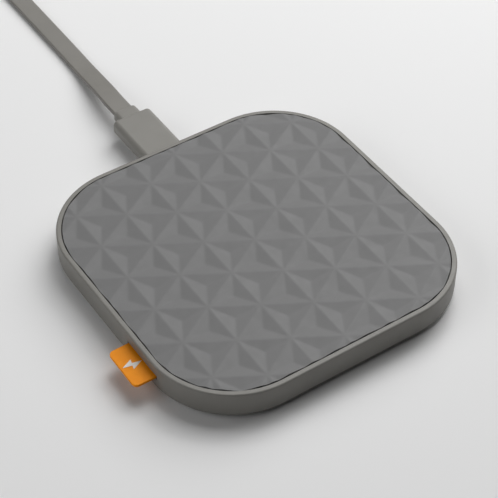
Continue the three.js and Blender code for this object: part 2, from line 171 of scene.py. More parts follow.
def between(tree, factor, low, high):
    """A value from low to high, by a factor from a texture that mostly stays within 0.3 to 0.7."""
    return add_node(
        tree,
        "ShaderNodeMapRange",
        {"Value": factor, "From Min": 0.3, "From Max": 0.7, "To Min": low, "To Max": high},
    ).outputs[0]


def shaded(tree, factor, dark, light):
    """A colour between two, by a factor from a texture."""
    mix = add_node(
        tree,
        "ShaderNodeMix",
        {"Factor": between(tree, factor, 0, 1), "A": (*dark, 1), "B": (*light, 1)},
        data_type="RGBA",
    )
    return mix.outputs["Result"]


def raised(tree, shader, height, distance, strength):
    """Bumps a shader's surface by a height from a texture."""
    bump = add_node(tree, "ShaderNodeBump", {"Height": height, "Distance": distance, "Strength": strength})
    tree.links.new(bump.outputs[0], shader.inputs["Normal"])


def tinted(colour, factor):
    """A colour made darker, or lighter up to white."""
    return tuple(min(1, c * factor) for c in colour)


def moulded(name, colour, rough, grain=7000, grain_height=0.012 * MM, mottle=0.03, sheen=0.0):
    """Moulded plastic or rubber: faint patches in its colour, uneven gloss and a fine eroded grain."""
    material, tree, shader = new_finish(name)
    patches = speckle(tree, PATCHES, 5)
    colours = shaded(tree, patches, tinted(colour, 1 - mottle), tinted(colour, 1 + mottle))
    tree.links.new(colours, shader.inputs["Base Color"])
    gloss = between(tree, speckle(tree, GLOSS_SPOTS), rough - 0.04, rough + 0.04)
    tree.links.new(gloss, shader.inputs["Roughness"])
    shader.inputs["Specular IOR Level"].default_value = 0.4
    shader.inputs["Sheen Weight"].default_value = sheen
    raised(tree, shader, speckle(tree, grain, 2), grain_height, 0.6)
    return material


def plated(name, colour, rough, stretch=(1, 12, 1)):
    """Metal with fine drawn lines."""
    material, tree, shader = new_finish(name)
    lines = speckle(tree, DRAWN_LINES, 3, stretch)
    colours = shaded(tree, lines, tinted(colour, 0.98), tinted(colour, 1.02))
    tree.links.new(colours, shader.inputs["Base Color"])
    tree.links.new(between(tree, lines, rough - 0.02, rough + 0.03), shader.inputs["Roughness"])
    shader.inputs["Metallic"].default_value = 1
    raised(tree, shader, lines, 0.001 * MM, 0.3)
    return material


def woven(name, colour, thread):
    """Satin label: fine ribs along X, crossed by the weft, with slightly uneven dye."""
    material, tree, shader = new_finish(name)
    place = tree.nodes.new("ShaderNodeTexCoord").outputs["Object"]
    ribs = []
    for direction, size in (("Y", thread), ("X", thread * 1.6)):
        settings = {"Vector": place, "Scale": ONE_BAND / size, "Distortion": 0.4, "Detail": 1.0}
        wave = add_node(tree, "ShaderNodeTexWave", settings, bands_direction=direction)
        ribs.append(wave.outputs["Fac"])
    weave = calc(tree, "MULTIPLY_ADD", ribs[1], 0.35, ribs[0])
    faint_weave = calc(tree, "MULTIPLY", weave, 0.15)
    dye = calc(tree, "MULTIPLY_ADD", speckle(tree, DYE_SPOTS, 3), 0.6, faint_weave)
    colours = shaded(tree, dye, tinted(colour, 0.9), tinted(colour, 1.06))
    tree.links.new(colours, shader.inputs["Base Color"])
    shader.inputs["Roughness"].default_value = 0.55
    shader.inputs["Specular IOR Level"].default_value = 0.25
    raised(tree, shader, weave, 0.02 * MM, 0.5)
    return material


def solder_masked(name, mask, copper):
    """Circuit board: copper tracks that show faintly through the mask, and bare pads."""
    material, tree, shader = new_finish(name)
    place = tree.nodes.new("ShaderNodeTexCoord").outputs["Object"]
    tracks = add_node(tree, "ShaderNodeTexBrick", {"Vector": place, "Scale": TRACKS, "Mortar Size": 0.03})
    pads = add_node(tree, "ShaderNodeTexVoronoi", {"Vector": place, "Scale": BARE_PADS}, feature="F1")
    bare = calc(tree, "LESS_THAN", pads.outputs["Distance"], 0.18)
    masked = shaded(tree, tracks.outputs["Fac"], mask, tinted(mask, 1.8))
    mix = add_node(
        tree, "ShaderNodeMix", {"Factor": bare, "A": masked, "B": (*copper, 1)}, data_type="RGBA",
    )
    tree.links.new(mix.outputs["Result"], shader.inputs["Base Color"])
    tree.links.new(calc(tree, "MULTIPLY", bare, 0.9), shader.inputs["Metallic"])
    shader.inputs["Roughness"].default_value = 0.35
    raised(tree, shader, tracks.outputs["Fac"], 0.03 * MM, 0.5)
    return material


HOUSING_GREY = (0.226, 0.219, 0.201)
CORD_GREY = (0.225, 0.216, 0.198)
MAT_GREY = (0.178, 0.178, 0.178)

FINISH = {
    "housing": moulded("warm_grey_plastic", HOUSING_GREY, 0.5),
    "mat": moulded("grey_silicone_mat", MAT_GREY, 0.6, grain=9000, mottle=0.02),
    "base": moulded("base_plastic", tinted(HOUSING_GREY, 0.8), 0.6, grain=3500, grain_height=0.02 * MM),
    "silicone": moulded("dark_silicone", (0.045, 0.045, 0.044), 0.75, sheen=0.2),
    "tag": woven("orange_satin_weave", (1.0, 0.32, 0.0), 0.22 * MM),
    "mark": woven("white_thread", (0.86, 0.84, 0.8), 0.18 * MM),
    "lead_grip": moulded("soft_grip_plastic", tinted(HOUSING_GREY, 1.06), 0.5),
    "cord": moulded("cord_jacket", CORD_GREY, 0.55, grain=5000),
    "tie": moulded("strap_silicone", tinted(CORD_GREY, 0.75), 0.65, sheen=0.15),
    "steel": plated("plated_steel", (0.62, 0.62, 0.63), 0.3),
    "copper": plated("enamelled_copper", (0.72, 0.3, 0.14), 0.35, (1, 1, 1)),
    "contact": plated("gold_plated_contact", (0.85, 0.6, 0.26), 0.25),
    "ferrite": moulded("sintered_ferrite", (0.05, 0.05, 0.053), 0.6, 2500, 0.02 * MM, mottle=0.2),
    "board": solder_masked("green_solder_mask", (0.012, 0.075, 0.035), (0.8, 0.55, 0.25)),
    "chip": moulded("moulded_package", (0.018, 0.018, 0.019), 0.45, grain=6000),
    "capacitor": moulded("ceramic_body", (0.42, 0.3, 0.17), 0.4, grain=3000, mottle=0.1),
    "insulator": moulded("black_insulator", (0.02, 0.02, 0.021), 0.4),
    "foam": moulded("closed_cell_foam", (0.03, 0.03, 0.03), 0.9, 1600, 0.15 * MM, mottle=0.3),
}

# --- Mesh helpers ---------------------------------------------------------------------------------

CORNERS = ((1, 1), (-1, 1), (-1, -1), (1, -1))


def link(name, mesh):
    piece = bpy.data.objects.new(name, mesh)
    scene.collection.objects.link(piece)
    return piece


def bake(piece):
    """Makes what the piece's modifiers give its plain mesh, and removes them."""
    evaluated = piece.evaluated_get(bpy.context.evaluated_depsgraph_get())
    mesh = bpy.data.meshes.new_from_object(evaluated)
    piece.modifiers.clear()
    piece.data = mesh


def arc(start, end, steps):
    """Angles in radians from start to end, which are in degrees."""
    return [math.radians(start + (end - start) * n / steps) for n in range(steps + 1)]


def rounded_outline(half_x, half_y, corner, steps):
    """The points of a rectangle with round corners, anticlockwise."""
    points = []
    for quarter, (sx, sy) in enumerate(CORNERS):
        for angle in arc(90 * quarter, 90 * quarter + 90, steps):
            x = sx * (half_x - corner) + corner * math.cos(angle)
            y = sy * (half_y - corner) + corner * math.sin(angle)
            points.append((x, y))
    return points


def lofted(name, rings, closed=False):
    """A solid through rings that have the same number of points. A closed loft joins the last ring
    to the first, and an open one gets an end face on each."""
    mesh = bmesh.new()
    made = [[mesh.verts.new(point) for point in ring] for ring in rings]
    count = len(rings[0])
    pairs = list(zip(made, made[1:]))
    if closed:
        pairs.append((made[-1], made[0]))
    for near, far in pairs:
        for n in range(count):
            after = (n + 1) % count
            mesh.faces.new((near[n], near[after], far[after], far[n]))
    if not closed:
        mesh.faces.new(made[0])
        mesh.faces.new(made[-1])
    bmesh.ops.recalc_face_normals(mesh, faces=mesh.faces)
    data = bpy.data.meshes.new(name)
    mesh.to_mesh(data)
    mesh.free()
    return link(name, data)


def square_loft(name, half, corner, profile, steps=28):
    """A rounded square whose section is a profile of (distance in from the edge, height)."""
    rings = []
    for inset, height in profile:
        outline = rounded_outline(half - inset, half - inset, max(corner - inset, 0.05 * MM), steps)
        rings.append([(x, y, height) for x, y in outline])
    return lofted(name, rings)


def bar(name, half_x, half_z, corner, stations, centre, steps=8, closed=False, turn=Matrix()):
    """A bar along Y with a rounded section, through stations of (Y, distance in from its sides)."""
    rings = []
    for y, inset in stations:
        outline = rounded_outline(half_x - inset, half_z - inset, max(corner - inset, 0.03 * MM), steps)
        rings.append([(-x, y, z) for x, z in outline])
    piece = lofted(name, rings, closed)
    piece.data.transform(Matrix.Translation(centre) @ turn)
    return piece


def round_front(front, radius, steps=5):
    """Stations from a bar's front face round its edge to its sides."""
    return [(front + radius * (1 - math.sin(a)), radius * (1 - math.cos(a))) for a in arc(90, 0, steps)]


def round_rear(rear, radius, steps=5):
    """Stations from a bar's sides round its edge to its rear face."""
    return [(rear - radius * (1 - math.sin(a)), radius * (1 - math.cos(a))) for a in arc(0, 90, steps)]


def carve(piece, tool, operation="DIFFERENCE"):
    """Cuts a piece with a tool, or joins them, and removes the tool."""
    modifier = piece.modifiers.new("carve", "BOOLEAN")
    modifier.operation = operation
    modifier.solver = "MANIFOLD"
    modifier.object = tool
    bake(piece)
    bpy.data.objects.remove(tool)


def smooth(piece, angle=35):
    """Shades a piece smoothly across its fillets, with its flat faces kept flat."""
    piece.data.shade_smooth()
    piece.data.set_sharp_from_angle(angle=math.radians(angle))
    modifier = piece.modifiers.new("flat faces", "WEIGHTED_NORMAL")
    modifier.keep_sharp = True
    bake(piece)


def settle(piece, body, finish, slot, *stands_for):
    """Gives a finished piece its material and its body, and hides the CAD nodes that it stands for."""
    piece.data.materials.clear()
    piece.data.materials.append(FINISH[finish])
    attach(piece, body)
    if stands_for:
        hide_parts(*stands_for)
    return piece


def turned(name, profile, x=0, y=0, sides=32):
    """A solid turned about an upright axis at x and y, from a profile of (radius, height)."""
    turns = [2 * math.pi * n / sides for n in range(sides)]
    return lofted(name, [[(x + r * math.cos(a), y + r * math.sin(a), z) for a in turns] for r, z in profile])


def post(radius, low, high, x, y):
    return turned("post", [(radius, low), (radius, high)], x, y)


def block(low, high, name="block"):
    (x0, y0, z0), (x1, y1, z1) = low, high
    return lofted(name, [[(x0, y0, z), (x1, y0, z), (x1, y1, z), (x0, y1, z)] for z in (z0, z1)])


# --- Cord -----------------------------------------------------------------------------------------

CORD_WIDTH = 6 * MM
CORD_THICK = 1.6 * MM
CORD_EDGE = 0.5 * MM
CORD_SIDE = 2.35 * MM
TURN_PITCH = 4.6 * MM
TURN_IN_R = 26 * MM
NEAR_TURNS = 1.85
FAR_TURNS = NEAR_TURNS + 0.25
COIL_MID = Vector((CORD_SIDE + TURN_IN_R + TURN_PITCH * NEAR_TURNS, 178 * MM, 0))
TAIL_LENGTH = 46 * MM
FAR_PLUG_HEIGHT = 3.9 * MM
TWIST_START = 138 * MM
TIE_LIFT = 0.48 * MM
LIFT_REACH = 14 * MM
LIFT_RAMP = 9 * MM
FLAT = 0.0
ON_EDGE = math.pi / 2

# Steps of the middle line in each stretch
SPAN_STEPS = 10
TWIST_STEPS = 26
NEAR_COIL_STEPS = 220
BEND_STEPS = 30
FAR_COIL_STEPS = 250
TAIL_STEPS = 30

# From inside the plug's boot down to the surface, lying flat
NEAR_ROUTE = [
    (0, 68.0, 4.65),
    (0, 74, 4.65),
    (0.5, 81, 4.0),
    (1.3, 89, 2.5),
    (2.0, 97, 1.15),
    (2.3, 106, 0.8),
    (2.35, 118, 0.8),
    (2.35, 130, 0.8),
    (2.35, 138, 0.8),
]


def eased(value):
    """A value held within 0 to 1, with a soft start and end."""
    value = min(1, max(0, value))
    return value * value * (3 - 2 * value)


def through(points, steps):
    """A smooth curve through points, with steps in each span."""
    line = []
    ends = [points[0] * 2 - points[1], *points, points[-1] * 2 - points[-2]]
    for a, b, c, d in zip(ends, ends[1:], ends[2:], ends[3:]):
        for n in range(steps):
            t = n / steps
            square = (2 * a - 5 * b + 4 * c - d) * t * t
            cube = (3 * b - a - 3 * c + d) * t**3
            line.append(0.5 * (2 * b + (c - a) * t + square + cube))
    return line + [points[-1]]


def resting(roll):
    """How high the cord's middle is above the surface when its section is turned by roll."""
    return CORD_WIDTH / 2 * math.sin(roll) + CORD_THICK / 2 * math.cos(roll)


def coil_point(radius, angle):
    """A point of the coil, which rises a little where the strap passes under the turns."""
    x = radius * math.cos(angle)
    y = radius * math.sin(angle)
    lift = TIE_LIFT * eased((LIFT_REACH - abs(x)) / LIFT_RAMP) if y < 0 else 0
    return COIL_MID + Vector((x, y, CORD_WIDTH / 2 + lift))


def cord_route():
    """The cord's middle line, as (point, roll of its section)."""
    near = through([Vector(point) * MM for point in NEAR_ROUTE], SPAN_STEPS)
    route = [(point, FLAT) for point in near]
    # Onto its edge, on the way to the coil
    for n in range(1, TWIST_STEPS):
        roll = ON_EDGE * eased(n / TWIST_STEPS)
        y = TWIST_START + (COIL_MID.y - TWIST_START) * n / TWIST_STEPS
        route.append((Vector((CORD_SIDE, y, resting(roll))), roll))
    # Winding in
    inner = math.pi * (1 - 2 * NEAR_TURNS)
    for n in range(NEAR_COIL_STEPS + 1):
        turn = NEAR_TURNS * (1 - n / NEAR_COIL_STEPS)
        angle = inner + 2 * math.pi * turn
        route.append((coil_point(TURN_IN_R + TURN_PITCH * turn, angle), ON_EDGE))
    # Across the coil's middle, in two half circles
    bend = TURN_IN_R / 2
    for side in (1, -1):
        centre = COIL_MID + side * bend * Vector((math.cos(inner), math.sin(inner), 0))
        for n in range(1, BEND_STEPS + 1):
            angle = inner - side * math.pi * n / BEND_STEPS
            point = centre + bend * Vector((math.cos(angle), math.sin(angle), 0))
            route.append((point + Vector((0, 0, CORD_WIDTH / 2)), ON_EDGE))
    # Winding out
    for n in range(1, FAR_COIL_STEPS + 1):
        turn = FAR_TURNS * n / FAR_COIL_STEPS
        angle = inner + math.pi + 2 * math.pi * turn
        route.append((coil_point(TURN_IN_R + TURN_PITCH * turn, angle), ON_EDGE))
    # Flat again, at the far plug's height
    start = route[-1][0]
    for n in range(1, TAIL_STEPS + 1):
        along = n / TAIL_STEPS
        height = start.z + (FAR_PLUG_HEIGHT - start.z) * eased((along - 0.25) / 0.6)
        roll = ON_EDGE * (1 - eased((along - 0.12) / 0.7))
        route.append((Vector((start.x - TAIL_LENGTH * along, start.y, height)), roll))
    return route


def make_cord():
    """The flat cord in one piece, and its middle line."""
    route = cord_route()
    line = [point for point, _ in route]
    section = rounded_outline(CORD_WIDTH / 2, CORD_THICK / 2, CORD_EDGE, 4)
    rings = []
    for n, (point, roll) in enumerate(route):
        ahead = (line[min(n + 1, len(line) - 1)] - line[max(n - 1, 0)]).normalized()
        side = ahead.cross(Vector((0, 0, 1))).normalized()
        up = side.cross(ahead)
        wide = side * math.cos(roll) + up * math.sin(roll)
        thick = up * math.cos(roll) - side * math.sin(roll)
        rings.append([point + wide * x + thick * y for x, y in section])
    cord = lofted("flat_cord", rings)
    smooth(cord, 50)
    settle(cord, "lead", "cord", "cord", "cord_run", "cord_coil", "cord_middle", "cord_tail")
    return cord, line


cord, cord_line = make_cord()


def make_strap():
    """The silicone strap round the turns."""
    low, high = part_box("cord_tie")
    centre = (low + high) / 2
    size = (high - low) / 2
    wall = 0.4 * MM
    edge = 0.12 * MM
    rings = []
    for inset, x in ((0, edge), (edge, 0), (wall - edge, 0), (wall, edge)):
        for side in (-1, 1) if inset < wall / 2 else (1, -1):
            outline = rounded_outline(size.y - inset, size.z - inset, 1.5 * MM - inset, 8)
            place = centre + Vector((side * (size.x - x), 0, 0))
            rings.append([place + Vector((0, y, z)) for y, z in outline])
    order = [2, 0, 1, 3, 5, 7, 6, 4]
    strap = lofted("coil_strap", [rings[n] for n in order], closed=True)
    smooth(strap)
    settle(strap, "lead", "tie", "tie", "cord_tie")
    return strap


def make_stud():
    """The stud that closes the strap, on its upper side."""
    low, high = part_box("cord_tie")
    foot = high.z - 0.05 * MM
    outline = ((1.6, 0), (1.6, 0.35), (1.45, 0.5), (1.1, 0.56), (0.9, 0.42), (0.3, 0.4))
    profile = [(r * MM, foot + z * MM) for r, z in outline]
    stud = turned("strap_stud", profile, (low.x + high.x) / 2, (low.y + high.y) / 2)
    smooth(stud)
    settle(stud, "lead", "tie", "tie")
    return stud


strap = make_strap()
stud = make_stud()

# --- Housing --------------------------------------------------------------------------------------

shell_low, shell_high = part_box("rim_housing")
mat_low, mat_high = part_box("top_mat")
base_low, base_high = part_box("base_cover")
_, sheet_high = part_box("non_slip_sheet")
tag_low, tag_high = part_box("tag")

PAD_HALF = shell_high.x
PAD_CORNER = 24 * MM
FIT = 0.3 * MM
WALL = 2 * MM
RIM = 1.55 * MM
TOP_ROUND = 0.5 * MM
LOW_ROUND = 1.5 * MM
EDGE = 0.15 * MM
DECK_LOW = 6.9 * MM
DECK_HIGH = mat_low.z - 0.1 * MM
DECK_ROUND = 0.5 * MM
# How far in the last ring of a wide face is. An end face fills what is left.
WELL_IN = 40 * MM
SCREW_REACH = 31 * MM
SCREW_HOLE = 1.3 * MM
HEAD_HOLE = 2.2 * MM
HEAD_DEPTH = 1.6 * MM
BOSS_R = 2.6 * MM
BOSS_HOLE_TOP = 5.9 * MM
SCREW_PLACES = [(x * SCREW_REACH, y * SCREW_REACH) for x, y in CORNERS]


def corner_at(half):
    """The corner radius of a square of this half size that keeps parallel to the pad's outline."""
    return half - (PAD_HALF - PAD_CORNER)


def fillet(inset, height, radius, start, end, steps):
    """Points of a round edge, about a centre that is given as (inset, height)."""
    angles = arc(start, end, steps)
    return [(inset - radius * math.cos(a), height + radius * math.sin(a)) for a in angles]


def make_housing():
    """Side wall, rim and deck in one moulding, with the socket's opening, the tag's slot
    and the screws' bosses."""
    low = shell_low.z
    high = shell_high.z
    profile = [(WELL_IN, DECK_LOW), (WALL + DECK_ROUND, DECK_LOW)]
    profile += fillet(WALL + DECK_ROUND, DECK_LOW - DECK_ROUND, DECK_ROUND, 90, 0, 4)[1:]
    profile += fillet(WALL - EDGE, low + EDGE, -EDGE, 0, 90, 3)
    profile += fillet(LOW_ROUND, low + LOW_ROUND, LOW_ROUND, -90, 0, 10)
    profile += fillet(TOP_ROUND, high - TOP_ROUND, TOP_ROUND, 0, 90, 10)
    profile += fillet(RIM - EDGE, high - EDGE, -EDGE, -90, -180, 3)
    profile += [(RIM, DECK_HIGH), (WELL_IN, DECK_HIGH)]
    shell = square_loft("housing_shell", PAD_HALF, PAD_CORNER, profile)
    for x, y in SCREW_PLACES:
        carve(shell, post(BOSS_R, base_high.z + FIT, DECK_LOW + 0.2 * MM, x, y), "UNION")
        carve(shell, post(SCREW_HOLE, 0.5 * MM, BOSS_HOLE_TOP, x, y))
    socket_low, socket_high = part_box("usb_socket_shell")
    half_x = socket_high.x + FIT
    half_z = (socket_high.z - socket_low.z) / 2 + FIT
    middle = Vector((0, 0, (socket_low.z + socket_high.z) / 2))
    flare = [(PAD_HALF - 3 * MM, 0), (PAD_HALF - EDGE, 0), (PAD_HALF, -EDGE), (PAD_HALF + MM, -EDGE)]
    carve(shell, bar("opening", half_x, half_z, half_z - 0.01 * MM, flare, middle))
    slot_low = Vector((-PAD_HALF - MM, tag_low.y - FIT, tag_low.z - FIT))
    slot_high = Vector((-PAD_HALF + 2.5 * MM, tag_high.y + FIT, tag_high.z + FIT))
    carve(shell, block(slot_low, slot_high))
    smooth(shell)
    settle(shell, "pad", "housing", "housing", "rim_housing")


def make_base():
    """Floor plate with the pocket for the non-slip sheet and the holes for the screws and their heads."""
    half = base_high.x
    pocket = half - (sheet_high.x + FIT)
    roof = sheet_high.z + 0.1 * MM
    low = base_low.z
    profile = [(WELL_IN, base_high.z)]
    profile += fillet(0.2 * MM, base_high.z - 0.2 * MM, 0.2 * MM, 90, 0, 3)
    profile += fillet(0.4 * MM, low + 0.4 * MM, 0.4 * MM, 0, -90, 5)
    profile += fillet(pocket - EDGE, low + EDGE, -EDGE, 90, 180, 3)
    profile += [(pocket, roof), (WELL_IN, roof)]
    base = square_loft("base_floor", half, corner_at(half), profile)
    for x, y in SCREW_PLACES:
        carve(base, post(SCREW_HOLE, 0, 3 * MM, x, y))
        carve(base, post(HEAD_HOLE, 0, HEAD_DEPTH, x, y))
    smooth(base)
    settle(base, "pad", "base", "base", "base_cover")


def make_sheet():
    """Non-slip sheet, with two grooves in its underside near its edge."""
    half = sheet_high.x
    top = sheet_high.z
    groove = 0.22 * MM
    well_in = 36 * MM
    chamfer = 0.1 * MM
    foot_round = 0.25 * MM
    profile = [(well_in, top), (chamfer, top), (0, top - chamfer)]
    profile += fillet(foot_round, foot_round, foot_round, 0, -90, 4)
    for start in (2.2 * MM, 3.8 * MM):
        section = ((0, 0), (0.2 * MM, groove), (0.6 * MM, groove), (0.8 * MM, 0))
        profile += [(start + inset, height) for inset, height in section]
    profile += [(well_in, 0)]
    sheet = square_loft("grip_sheet", half, half / 2, profile)
    smooth(sheet, 25)
    settle(sheet, "pad", "silicone", "silicone", "non_slip_sheet")


make_housing()
make_base()
make_sheet()

# --- Faceted mat ----------------------------------------------------------------------------------

CELL = 13.5 * MM
DIMPLE = 0.6 * MM
RIDGE_SOFTNESS = 0.35 * MM
MAT_GAP = 0.1 * MM
MAT_DRAFT = 0.12 * MM
STEPS_PER_CELL = 30


def facet_tree():
    """A block whose top is a lattice of equilateral triangles, each sunk to a point in its middle.
    The mesh follows the lattice, so the ridges run along its edges."""
    tree, source = shape_tree("faceted_block", {
        "Columns": "NodeSocketInt",
        "Rows": "NodeSocketInt",
        "Column Pitch": "NodeSocketFloat",
        "Ridge Pitch": "NodeSocketFloat",
        "Dimple Depth": "NodeSocketFloat",
        "Softness": "NodeSocketFloat",
        "Top Height": "NodeSocketFloat",
        "Thickness": "NodeSocketFloat",
        "Material": "NodeSocketMaterial",
    })
    given = source.outputs
    row_pitch = calc(tree, "MULTIPLY", given["Column Pitch"], 2 / SQRT3)
    width = calc(tree, "MULTIPLY", calc(tree, "SUBTRACT", given["Columns"], 1), given["Column Pitch"])
    depth = calc(tree, "MULTIPLY", calc(tree, "SUBTRACT", given["Rows"], 1), row_pitch)
    position = tree.nodes.new("GeometryNodeInputPosition")
    grid = add_node(tree, "GeometryNodeMeshGrid", {
        "Size X": width, "Size Y": depth, "Vertices X": given["Columns"], "Vertices Y": given["Rows"],
    })
    place = add_node(tree, "ShaderNodeSeparateXYZ", {0: position.outputs[0]})
    lean = calc(tree, "DIVIDE", place.outputs["X"], SQRT3)
    leaning = add_node(tree, "ShaderNodeCombineXYZ", {"Y": lean})
    lattice = add_node(tree, "GeometryNodeSetPosition", {
        "Geometry": grid.outputs[0], "Offset": leaning.outputs[0],
    })
    cut = add_node(tree, "GeometryNodeTriangulate", {0: lattice.outputs[0]})
    place = add_node(tree, "ShaderNodeSeparateXYZ", {0: position.outputs[0]})
    x, y = place.outputs["X"], place.outputs["Y"]
    half_pitch = calc(tree, "DIVIDE", given["Ridge Pitch"], 2)
    away = []
    for across, along in ((1, 0), (0.5, SQRT3 / 2), (0.5, -SQRT3 / 2)):
        line = calc(tree, "MULTIPLY_ADD", y, along, calc(tree, "MULTIPLY", x, across))
        away.append(calc(tree, "PINGPONG", line, half_pitch))
    nearest = away[0]
    for other in away[1:]:
        nearest = calc(tree, "SMOOTH_MIN", nearest, other, given["Softness"])
    nearest = calc(tree, "SMOOTH_MAX", nearest, 0.0, given["Softness"])
    slope = calc(tree, "DIVIDE", given["Dimple Depth"], calc(tree, "DIVIDE", given["Ridge Pitch"], 3))
    sunk = calc(tree, "SUBTRACT", given["Top Height"], calc(tree, "MULTIPLY", nearest, slope))
    rise = add_node(tree, "ShaderNodeCombineXYZ", {"Z": sunk})
    relief = add_node(tree, "GeometryNodeSetPosition", {
        "Geometry": cut.outputs[0], "Offset": rise.outputs[0],
    })
    down = add_node(tree, "ShaderNodeCombineXYZ", {"Z": calc(tree, "MULTIPLY", given["Thickness"], -1)})
    below = add_node(tree, "GeometryNodeExtrudeMesh", {
        "Mesh": relief.outputs[0], "Offset": down.outputs[0], "Offset Scale": 1.0, "Individual": False,
    })
    joined = tree.nodes.new("GeometryNodeJoinGeometry")
    tree.links.new(below.outputs["Mesh"], joined.inputs[0])
    flipped = add_node(tree, "GeometryNodeFlipFaces", {0: relief.outputs[0]})
    tree.links.new(flipped.outputs[0], joined.inputs[0])
    whole = add_node(tree, "GeometryNodeMergeByDistance", {0: joined.outputs[0], "Distance": 1e-6})
    end_tree(tree, source, whole.outputs[0])
    return tree


def make_mat():
    """The faceted block, cut to the mat's outline with a slightly drafted edge."""
    half = PAD_HALF - RIM - MAT_GAP
    ridge_pitch = CELL * SQRT3 / 2
    column_pitch = ridge_pitch / STEPS_PER_CELL
    row_pitch = CELL / STEPS_PER_CELL
    reach = half + 1.5 * MM
    mat = grown("faceted_mat", facet_tree(), {
        "Columns": 2 * math.ceil(reach / column_pitch) + 1,
        "Rows": 2 * math.ceil(reach * (1 + 1 / SQRT3) / row_pitch) + 1,
        "Column Pitch": column_pitch,
        "Ridge Pitch": ridge_pitch,
        "Dimple Depth": DIMPLE,
        "Softness": RIDGE_SOFTNESS,
        "Top Height": mat_high.z,
        "Thickness": 4 * MM,
        "Material": FINISH["mat"],
    })
    draft_start = mat_high.z - DIMPLE - 0.1 * MM
    above = mat_high.z + 0.1 * MM
    profile = [(WELL_IN, mat_low.z), (0, mat_low.z), (0, draft_start)]
    profile += [(MAT_DRAFT, above), (WELL_IN, above)]
    carve(mat, square_loft("outline", half, corner_at(half), profile), "INTERSECT")
    mesh = bmesh.new()
    mesh.from_mesh(mat.data)
    bmesh.ops.recalc_face_normals(mesh, faces=mesh.faces)
    mesh.to_mesh(mat.data)
    mesh.free()
    mat.data.shade_smooth()
    mat.data.set_sharp_from_angle(angle=math.radians(25))
    settle(mat, "pad", "mat", "mat", "top_mat")


make_mat()

# --- Tag ------------------------------------------------------------------------------------------


TAG_STEPS = 16
TAG_CORNER = 1.4 * MM
TAG_EDGE = 0.16 * MM
TAG_SAG = 0.1 * MM
LAYER_LINE = 0.12 * MM
LAYER_LINE_HALF = 0.07 * MM
FOLD = 1.2 * MM
BOLT_X = -47.8 * MM


def make_tag():
    """A label folded in two. Its outer edge is the fold, and its sides show a line between the layers."""
    centre = (tag_low + tag_high) / 2
    size = (tag_high - tag_low) / 2
    half_thick = size.z
    rings = []
    for n in range(TAG_STEPS + 1):
        across = math.sin(math.pi * (n / TAG_STEPS - 0.5))
        height = half_thick * across
        inset = TAG_EDGE * (1 - math.sqrt(max(0, 1 - across**6)))
        between_layers = LAYER_LINE * math.exp(-((height / LAYER_LINE_HALF) ** 2))
        ring = []
        for x, y in rounded_outline(size.x - inset, size.y - inset, TAG_CORNER, 8):
            from_fold = eased((x + size.x - FOLD) / (1.5 * MM))
            y -= math.copysign(between_layers * from_fold, y)
            sag = -TAG_SAG * ((size.x - x) / (2 * size.x)) ** 2
            ring.append((centre.x + x, centre.y + y, centre.z + height + sag))
        rings.append(ring)
    tag = lofted("woven_tag", rings)
    smooth(tag, 50)
    settle(tag, "pad", "tag", "tag", "tag")


def make_bolt():
    """A small lightning bolt, woven in white into the tag's upper side."""
    outline = [(-2.7, 0.2), (0.45, 1.6), (0.15, 0.4), (2.7, -0.2), (-0.45, -1.6), (-0.15, -0.4)]
    middle = Vector((BOLT_X, (tag_low.y + tag_high.y) / 2, 0))
    foot = tag_high.z - 0.07 * MM
    rings = []
    for height, shrunk in ((0, 0), (0.05, 0), (0.075, 0.06)):
        place = middle + Vector((0, 0, foot + height * MM))
        rings.append([place + (1 - shrunk) * MM * Vector((x, y, 0)) for x, y in outline])
    bolt = lofted("tag_bolt", rings)
    settle(bolt, "pad", "mark", "tag")


make_tag()
make_bolt()

# --- Plug at the pad ------------------------------------------------------------------------------


SHELL_WALL = 0.25 * MM
# How far a boot runs into its grip
BOOT_OVERLAP = 0.5 * MM


def section_of(node):
    """(middle, half size) of a CAD node."""
    low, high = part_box(node)
    return (low + high) / 2, (high - low) / 2


def make_grip():
    middle, size = section_of("plug_grip")
    stations = round_front(-size.y, 0.3 * MM) + round_rear(size.y, 0.9 * MM)
    grip = bar("plug_grip_moulding", size.x, size.z, 1.5 * MM, stations, middle, 12)
    smooth(grip)
    settle(grip, "lead", "lead_grip", "lead_grip", "plug_grip")
    return grip


def make_boot():
    """The collar behind the grip, drawn in a little towards its rear."""
    middle, size = section_of("plug_boot")
    stations = [(-size.y - BOOT_OVERLAP, 0), (-size.y + 1.2 * MM, 0)]
    stations += round_rear(size.y, 0.9 * MM)[1:]
    boot = bar("plug_boot_moulding", size.x, size.z, 1.4 * MM, stations, middle, 10)
    smooth(boot)
    settle(boot, "lead", "lead_grip", "lead_grip", "plug_boot")
    return boot


def make_plug_shell():
    """The plug's drawn metal shell, open at its tip, with a rounded lip."""
    middle, size = section_of("plug_shell")
    lip = round_front(-size.y, SHELL_WALL / 2)
    stations = [(size.y, 0), *reversed(lip)]
    stations += [(-size.y + SHELL_WALL, SHELL_WALL), (size.y - SHELL_WALL, SHELL_WALL)]
    shell = bar("plug_shell_drawn", size.x, size.z, size.z - 0.01 * MM, stations, middle, 10)
    smooth(shell)
    settle(shell, "lead", "steel", "steel", "plug_shell")
    return shell


def make_socket_shell():
    """The socket's shell, a sleeve that is open at both ends."""
    middle, size = section_of("usb_socket_shell")
    wall = 0.3 * MM
    lip = 0.1 * MM
    stations = [(-size.y, wall), (-size.y, 0), (size.y - lip, 0)]
    stations += [(size.y, lip), (size.y, wall - lip), (size.y - lip, wall)]
    corner = size.z - 0.01 * MM
    shell = bar("socket_shell_drawn", size.x, size.z, corner, stations, middle, 10, closed=True)
    smooth(shell)
    settle(shell, "pad", "steel", "steel", "usb_socket_shell")


plug_grip = make_grip()
plug_boot = make_boot()
plug_shell = make_plug_shell()
make_socket_shell()

# --- Plug at the far end --------------------------------------------------------------------------

